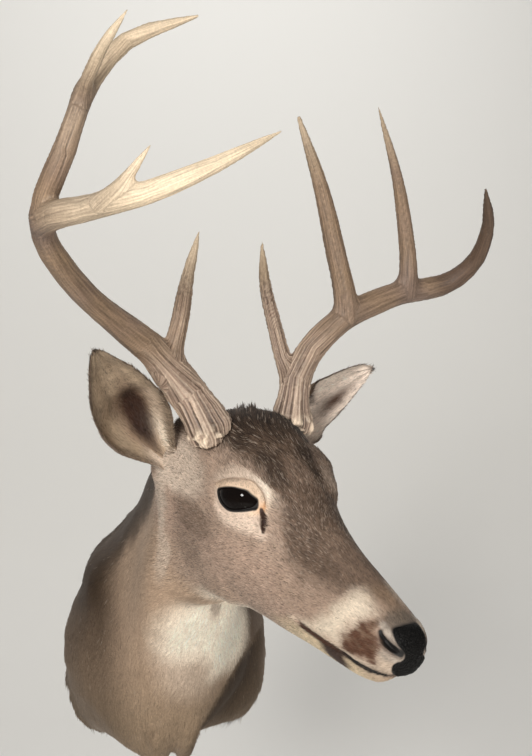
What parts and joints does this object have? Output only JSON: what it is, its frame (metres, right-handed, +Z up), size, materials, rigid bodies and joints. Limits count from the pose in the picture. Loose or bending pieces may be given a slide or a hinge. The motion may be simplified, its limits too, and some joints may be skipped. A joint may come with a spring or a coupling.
{
  "type": "deer shoulder mount",
  "caption": "Life-size shoulder mount of a white-tailed buck: head, neck, shoulders and antlers, head turned to its left, hung on a wall by its backboard.",
  "frame": {"origin": "middle of the backboard's rear face, on the wall", "axes": "+Z up the wall, +Y into the wall; the buck looks along -Y with its head turned to its own left, which is +X"},
  "size_m": [0.4128, 0.6931, 0.6983],
  "materials": {
    "coat": "dense short deer hair, grey-brown, darker on the forehead and nape, cream on throat and muzzle band",
    "nose": "black pebbled nose skin, slightly glossy",
    "ear": "short hair outside, longer buff hair inside the cup, dark rim",
    "eye": "polished near-black glass eye",
    "antler": "grooved antler bone, tan-brown and grey, ivory towards the tips, pearled at the burrs",
    "board": "plain plywood backboard, sawn edge"
  },
  "bodies": {
    "root": {"backboard": "board", "chest": "coat", "neck": "coat", "head": "coat", "lower_jaw": "coat", "nose_pad": "nose", "ear_right": "ear", "ear_left": "ear", "eye_right": "eye", "eye_left": "eye", "antler_right_base": "antler", "antler_right_beam": "antler", "antler_right_upright": "antler", "antler_right_brow_tine": "antler", "antler_right_forward_beam": "antler", "antler_right_rear_tine": "antler", "antler_right_kicker": "antler", "antler_left_base": "antler", "antler_left_beam": "antler", "antler_left_beam_end": "antler", "antler_left_brow_tine": "antler", "antler_left_second_tine": "antler", "antler_left_third_tine": "antler"}
  },
  "joints": []
}
